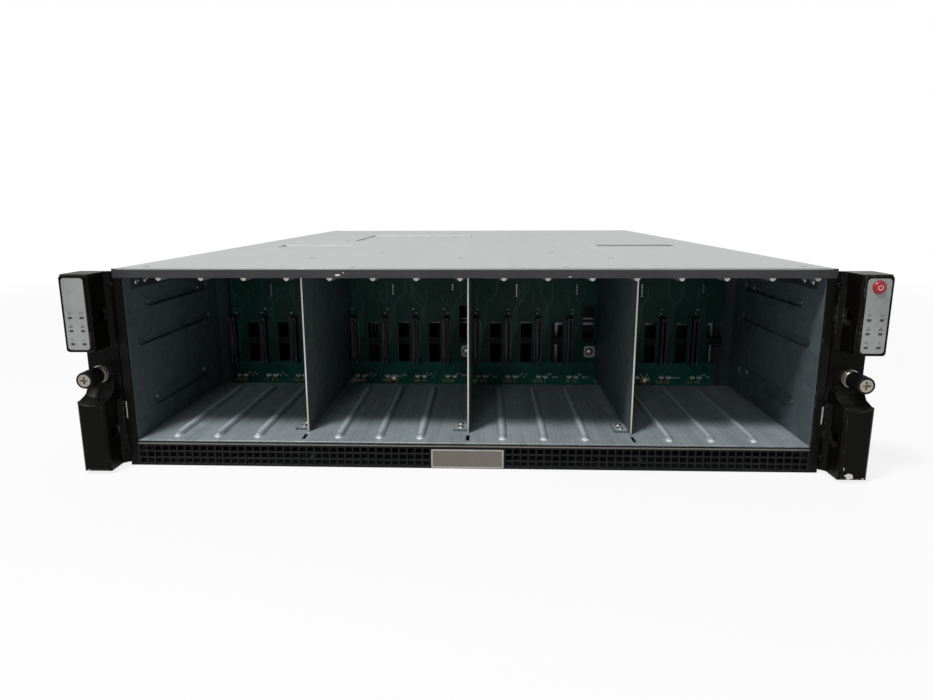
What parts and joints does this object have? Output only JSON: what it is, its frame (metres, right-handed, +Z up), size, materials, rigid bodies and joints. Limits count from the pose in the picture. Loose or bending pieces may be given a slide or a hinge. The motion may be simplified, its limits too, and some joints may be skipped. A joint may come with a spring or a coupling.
{
  "type": "storage array",
  "caption": "Rack storage chassis with open drive bays, guide rails, midplane, rack ears with thumbscrews and sliding rear controllers and power supplies.",
  "frame": {"origin": "centre of the bottom pan's underside, under the middle of the chassis", "axes": "+Z up, +Y from the front to the rear, +X to the right as seen from the front"},
  "size_m": [0.4826, 0.6571, 0.1282],
  "materials": {
    "galvanised": "spangled zinc sheet",
    "cover_steel": "pale satin sheet",
    "black_paint": "satin black powder coat",
    "ear_paint": "satin black paint on a casting",
    "badge": "brushed",
    "label": "matt",
    "lamp": "clear",
    "button": "satin red",
    "dark_plate": "dark zinc",
    "board": "solder mask",
    "connector": "moulded",
    "bright_steel": "nickel plated",
    "knob": "moulded",
    "tray_steel": "zinc sheet",
    "jack_shell": "tinned",
    "lever": "moulded",
    "fan": "moulded",
    "inlet": "moulded",
    "latch": "moulded"
  },
  "bodies": {
    "chassis": {"bottom_pan": "galvanised", "left_side_panel": "galvanised", "right_side_panel": "galvanised", "top_cover": "cover_steel", "front_top_rail": "black_paint", "front_posts": "black_paint", "front_grille": "black_paint", "badge_plate": "badge", "bay_floor": "galvanised", "bay_ceiling": "galvanised", "left_bay_wall": "galvanised", "right_bay_wall": "galvanised", "bay_divider_1": "galvanised", "bay_divider_2": "galvanised", "bay_divider_3": "galvanised", "corner_plates": "dark_plate", "midplane_board": "board", "drive_connectors": "connector", "midplane_sockets": "connector", "midplane_stiffener": "galvanised", "rear_shelf": "galvanised", "rear_partition": "galvanised", "light_pipes": "lamp", "left_ear": "ear_paint", "left_label_plate": "label", "left_screw_ferrule": "bright_steel", "right_ear": "ear_paint", "right_label_plate": "label", "right_screw_ferrule": "bright_steel"},
    "left_clip": {"left_screw_clip": "bright_steel"},
    "left_screw": {"left_thumbscrew": "bright_steel", "left_screw_knob": "knob"},
    "right_clip": {"right_screw_clip": "bright_steel"},
    "right_screw": {"right_thumbscrew": "bright_steel", "right_screw_knob": "knob"},
    "button": {"power_button": "button"},
    "lower_controller": {"lower_controller_tray": "tray_steel", "lower_controller_lid": "tray_steel", "lower_controller_board": "board", "lower_controller_ports": "jack_shell"},
    "lower_lever": {"lower_controller_lever": "lever"},
    "lower_supply": {"lower_supply_case": "tray_steel", "lower_supply_inlet": "inlet", "lower_supply_handle": "black_paint", "lower_supply_plug": "connector", "lower_fan_frame": "fan"},
    "lower_fan": {"lower_fan_rotor": "fan"},
    "lower_latch": {"lower_supply_latch": "latch"},
    "upper_controller": {"upper_controller_tray": "tray_steel", "upper_controller_lid": "tray_steel", "upper_controller_board": "board", "upper_controller_ports": "jack_shell"},
    "upper_lever": {"upper_controller_lever": "lever"},
    "upper_supply": {"upper_supply_case": "tray_steel", "upper_supply_inlet": "inlet", "upper_supply_handle": "black_paint", "upper_supply_plug": "connector", "upper_fan_frame": "fan"},
    "upper_fan": {"upper_fan_rotor": "fan"},
    "upper_latch": {"upper_supply_latch": "latch"}
  },
  "joints": [
    {"name": "left_screw_travel", "type": "slide", "parent": "chassis", "child": "left_clip", "axis": [0, -1, 0], "range_m": [0, 0.004]},
    {"name": "left_screw_turn", "type": "hinge", "parent": "left_clip", "child": "left_screw", "pos_m": [-0.23255, -0.305, 0.062], "axis": [0, -1, 0], "range_deg": [0, 1800.5]},
    {"name": "right_screw_travel", "type": "slide", "parent": "chassis", "child": "right_clip", "axis": [0, -1, 0], "range_m": [0, 0.004]},
    {"name": "right_screw_turn", "type": "hinge", "parent": "right_clip", "child": "right_screw", "pos_m": [0.23255, -0.305, 0.062], "axis": [0, -1, 0], "range_deg": [0, 1800.5]},
    {"name": "power_press", "type": "slide", "parent": "chassis", "child": "button", "axis": [0, 1, 0], "range_m": [0, 0.0012], "stiffness_N_per_m": 300},
    {"name": "lower_controller_slide", "type": "slide", "parent": "chassis", "child": "lower_controller", "axis": [0, 1, 0], "range_m": [0, 0.4]},
    {"name": "lower_lever_swing", "type": "hinge", "parent": "lower_controller", "child": "lower_lever", "pos_m": [-0.2034, 0.3085, 0.0275], "axis": [0, 0, 1], "range_deg": [0, 80]},
    {"name": "lower_supply_slide", "type": "slide", "parent": "chassis", "child": "lower_supply", "axis": [0, 1, 0], "range_m": [0, 0.4]},
    {"name": "lower_fan_spin", "type": "hinge", "parent": "lower_supply", "child": "lower_fan", "pos_m": [0.1038, 0.279, 0.0315], "axis": [0, 1, 0], "continuous": true},
    {"name": "lower_latch_press", "type": "hinge", "parent": "lower_supply", "child": "lower_latch", "pos_m": [0.1525, 0.3068, 0.0095], "axis": [-1, 0, 0], "range_deg": [0, 15], "stiffness_Nm_per_rad": 0.2},
    {"name": "upper_controller_slide", "type": "slide", "parent": "chassis", "child": "upper_controller", "axis": [0, 1, 0], "range_m": [0, 0.4]},
    {"name": "upper_lever_swing", "type": "hinge", "parent": "upper_controller", "child": "upper_lever", "pos_m": [-0.2034, 0.3085, 0.0901], "axis": [0, 0, 1], "range_deg": [0, 80]},
    {"name": "upper_supply_slide", "type": "slide", "parent": "chassis", "child": "upper_supply", "axis": [0, 1, 0], "range_m": [0, 0.4]},
    {"name": "upper_fan_spin", "type": "hinge", "parent": "upper_supply", "child": "upper_fan", "pos_m": [0.1038, 0.279, 0.0941], "axis": [0, 1, 0], "continuous": true},
    {"name": "upper_latch_press", "type": "hinge", "parent": "upper_supply", "child": "upper_latch", "pos_m": [0.1525, 0.3068, 0.0721], "axis": [-1, 0, 0], "range_deg": [0, 15], "stiffness_Nm_per_rad": 0.2}
  ],
  "couplings": [
    {"joint": "left_screw_turn", "follows": "left_screw_travel", "rad_per_m": 7854},
    {"joint": "right_screw_turn", "follows": "right_screw_travel", "rad_per_m": 7854}
  ]
}
